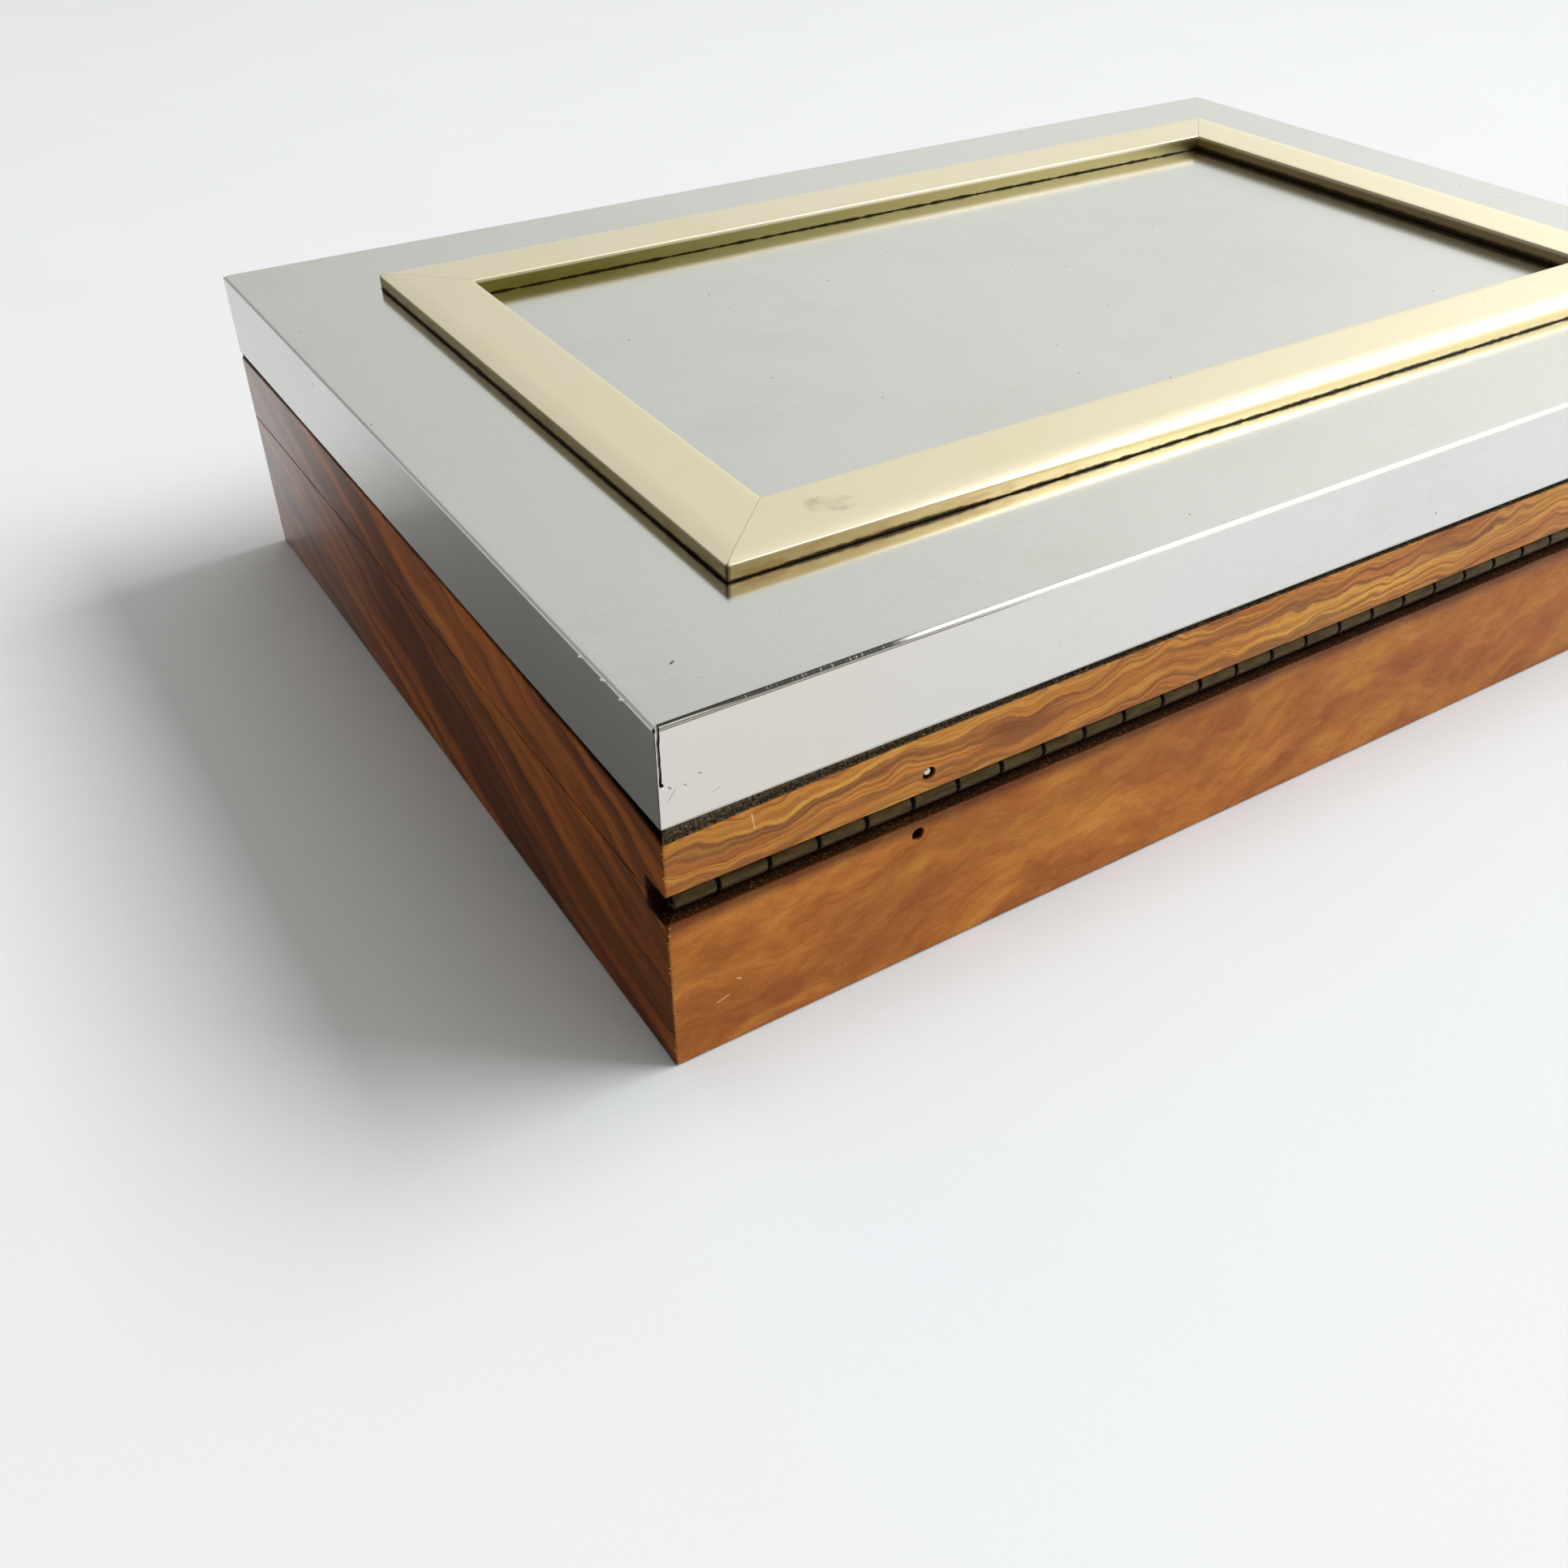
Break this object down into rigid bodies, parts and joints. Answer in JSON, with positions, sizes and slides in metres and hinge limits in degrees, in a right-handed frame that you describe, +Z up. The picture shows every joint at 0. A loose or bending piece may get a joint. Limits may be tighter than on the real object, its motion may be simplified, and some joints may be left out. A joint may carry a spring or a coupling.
{
  "type": "hinged table box",
  "caption": "Low rectangular wooden keepsake box with a hinged lid, a folded polished metal cover over the lid, a raised mitred brass frame on top and a piano hinge along the back.",
  "frame": {"origin": "middle of the underside, where the box stands on the table", "axes": "+X along the length, +Y towards the hinge at the back, +Z up"},
  "size_m": [0.27, 0.184, 0.0632],
  "materials": {
    "long_wood": "oiled figured hardwood",
    "short_wood": "oiled darker hardwood with long streaks",
    "inner_wood": "plain unpolished board",
    "cover_metal": "polished, slightly hazy and scratched",
    "frame_brass": "polished, lightly tarnished",
    "aged_brass": "dull, dark with age",
    "steel": "plain wire and screw steel"
  },
  "bodies": {
    "base": {"base_back_wall": "long_wood", "base_front_wall": "long_wood", "base_right_wall": "short_wood", "base_left_wall": "short_wood", "base_floor": "inner_wood", "hinge_base_leaf": "aged_brass", "hinge_pin": "aged_brass", "hinge_base_brad_1": "steel", "hinge_base_brad_2": "steel"},
    "lid": {"lid_back_rail": "long_wood", "lid_front_rail": "long_wood", "lid_right_rail": "short_wood", "lid_left_rail": "short_wood", "lid_board": "inner_wood", "lid_cover": "cover_metal", "frame_back_bar": "frame_brass", "frame_front_bar": "frame_brass", "frame_right_bar": "frame_brass", "frame_left_bar": "frame_brass", "frame_screw_back_1": "steel", "frame_screw_back_2": "steel", "frame_screw_right_1": "steel", "frame_screw_right_2": "steel", "frame_screw_front_1": "steel", "frame_screw_front_2": "steel", "frame_screw_left_1": "steel", "frame_screw_left_2": "steel", "hinge_lid_leaf": "aged_brass", "hinge_lid_brad_1": "steel", "hinge_lid_brad_2": "steel"}
  },
  "joints": [
    {"name": "lid_hinge", "type": "hinge", "parent": "base", "child": "lid", "pos_m": [0, 0.0896, 0.0301], "axis": [-1, 0, 0], "range_deg": [0, 94]}
  ]
}
